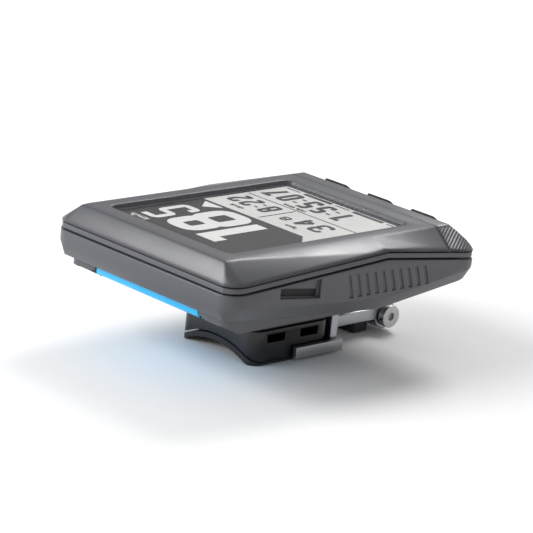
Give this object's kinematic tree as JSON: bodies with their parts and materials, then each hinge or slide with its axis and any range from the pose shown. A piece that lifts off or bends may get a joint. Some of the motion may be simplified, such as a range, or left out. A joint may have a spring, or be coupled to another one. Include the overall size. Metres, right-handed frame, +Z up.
{
  "type": "cycling computer",
  "caption": "Low faceted sealed head unit with a glazed segment display, press keys on a sloping rear edge and a sliding cell door, on a quarter-turn stem mount with a rear stay.",
  "frame": {"origin": "on the plane that the mount's rubber pad and foot rest on, under the middle of the head unit", "axes": "+Z up out of the display, +Y the riding direction, +X the rider's right"},
  "size_m": [0.046, 0.061, 0.024],
  "materials": {
    "casing": "satin, finely textured",
    "seal_rubber": "matt",
    "pad_rubber": "matt",
    "key_rubber": "satin",
    "screw_steel": "bright zinc",
    "window_glass": "clear, hard coated",
    "display_glass": "satin reflective liquid crystal",
    "light_guide": "white diffusing",
    "white_plastic": "satin",
    "black_frame": "matt",
    "amber_film": "polyimide film",
    "circuit_board": "solder resist over glass fibre",
    "can_steel": "nickel plated",
    "chip_black": "moulded epoxy",
    "spring_brass": "plated spring bronze",
    "blue_plastic": "gloss",
    "mount_black": "gloss, glass filled",
    "stay_grey": "satin anodised"
  },
  "bodies": {
    "mount": {"twist_socket": "mount_black", "socket_screw_1": "screw_steel", "socket_screw_2": "screw_steel", "socket_screw_3": "screw_steel", "socket_screw_4": "screw_steel", "friction_ring": "seal_rubber", "saddle": "mount_black", "saddle_pad": "pad_rubber", "rear_stay": "stay_grey", "stay_screw_1": "screw_steel", "stay_screw_2": "screw_steel", "stay_bolt": "screw_steel", "stay_nut": "screw_steel", "stay_foot": "pad_rubber"},
    "head": {"top_cover": "casing", "key_cap": "casing", "rear_shell": "casing", "seal_band": "seal_rubber", "door_seal": "seal_rubber", "case_screw_1": "screw_steel", "case_screw_2": "screw_steel", "case_screw_3": "screw_steel", "case_screw_4": "screw_steel", "case_screw_5": "screw_steel", "case_screw_6": "screw_steel", "boss_screw_1": "screw_steel", "boss_screw_2": "screw_steel", "lens": "window_glass", "lcd_panel": "display_glass", "backlight": "light_guide", "key_connector": "white_plastic", "lcd_frame": "black_frame", "key_wedge": "black_frame", "lcd_flex": "amber_film", "main_board": "circuit_board", "key_board": "circuit_board", "shield_can": "can_steel", "crystal_can": "can_steel", "coin_cell": "can_steel", "radio_chip": "chip_black", "memory_chip": "chip_black", "buzzer": "chip_black", "switch_left": "chip_black", "switch_middle": "chip_black", "switch_right": "chip_black", "antenna": "spring_brass", "cell_contact_side": "spring_brass", "cell_contact_top": "spring_brass", "twist_boss": "mount_black"},
    "door": {"cell_door": "blue_plastic"},
    "key_left": {"key_left": "key_rubber"},
    "plunger_left": {"plunger_left": "white_plastic"},
    "key_middle": {"key_middle": "key_rubber"},
    "plunger_middle": {"plunger_middle": "white_plastic"},
    "key_right": {"key_right": "key_rubber"},
    "plunger_right": {"plunger_right": "white_plastic"}
  },
  "joints": [
    {"name": "head_twist", "type": "hinge", "parent": "mount", "child": "head", "pos_m": [0, 0.0012, 0.0083], "axis": [0, 0, 1], "range_deg": [0, 90]},
    {"name": "door_slide", "type": "slide", "parent": "head", "child": "door", "axis": [0, 1, 0], "range_m": [0, 0.022]},
    {"name": "key_left_press", "type": "slide", "parent": "head", "child": "key_left", "axis": [0, 0.7071, -0.7071], "range_m": [0, 0.0005], "stiffness_N_per_m": 2000, "springref_m": -0.0002},
    {"name": "plunger_left_press", "type": "slide", "parent": "head", "child": "plunger_left", "axis": [0, 0.7071, -0.7071], "range_m": [0, 0.00025]},
    {"name": "key_middle_press", "type": "slide", "parent": "head", "child": "key_middle", "axis": [0, 0.7071, -0.7071], "range_m": [0, 0.0005], "stiffness_N_per_m": 2000, "springref_m": -0.0002},
    {"name": "plunger_middle_press", "type": "slide", "parent": "head", "child": "plunger_middle", "axis": [0, 0.7071, -0.7071], "range_m": [0, 0.00025]},
    {"name": "key_right_press", "type": "slide", "parent": "head", "child": "key_right", "axis": [0, 0.7071, -0.7071], "range_m": [0, 0.0005], "stiffness_N_per_m": 2000, "springref_m": -0.0002},
    {"name": "plunger_right_press", "type": "slide", "parent": "head", "child": "plunger_right", "axis": [0, 0.7071, -0.7071], "range_m": [0, 0.00025]}
  ],
  "couplings": [
    {"joint": "plunger_left_press", "follows": "key_left_press", "ratio": 0.5},
    {"joint": "plunger_middle_press", "follows": "key_middle_press", "ratio": 0.5},
    {"joint": "plunger_right_press", "follows": "key_right_press", "ratio": 0.5}
  ]
}
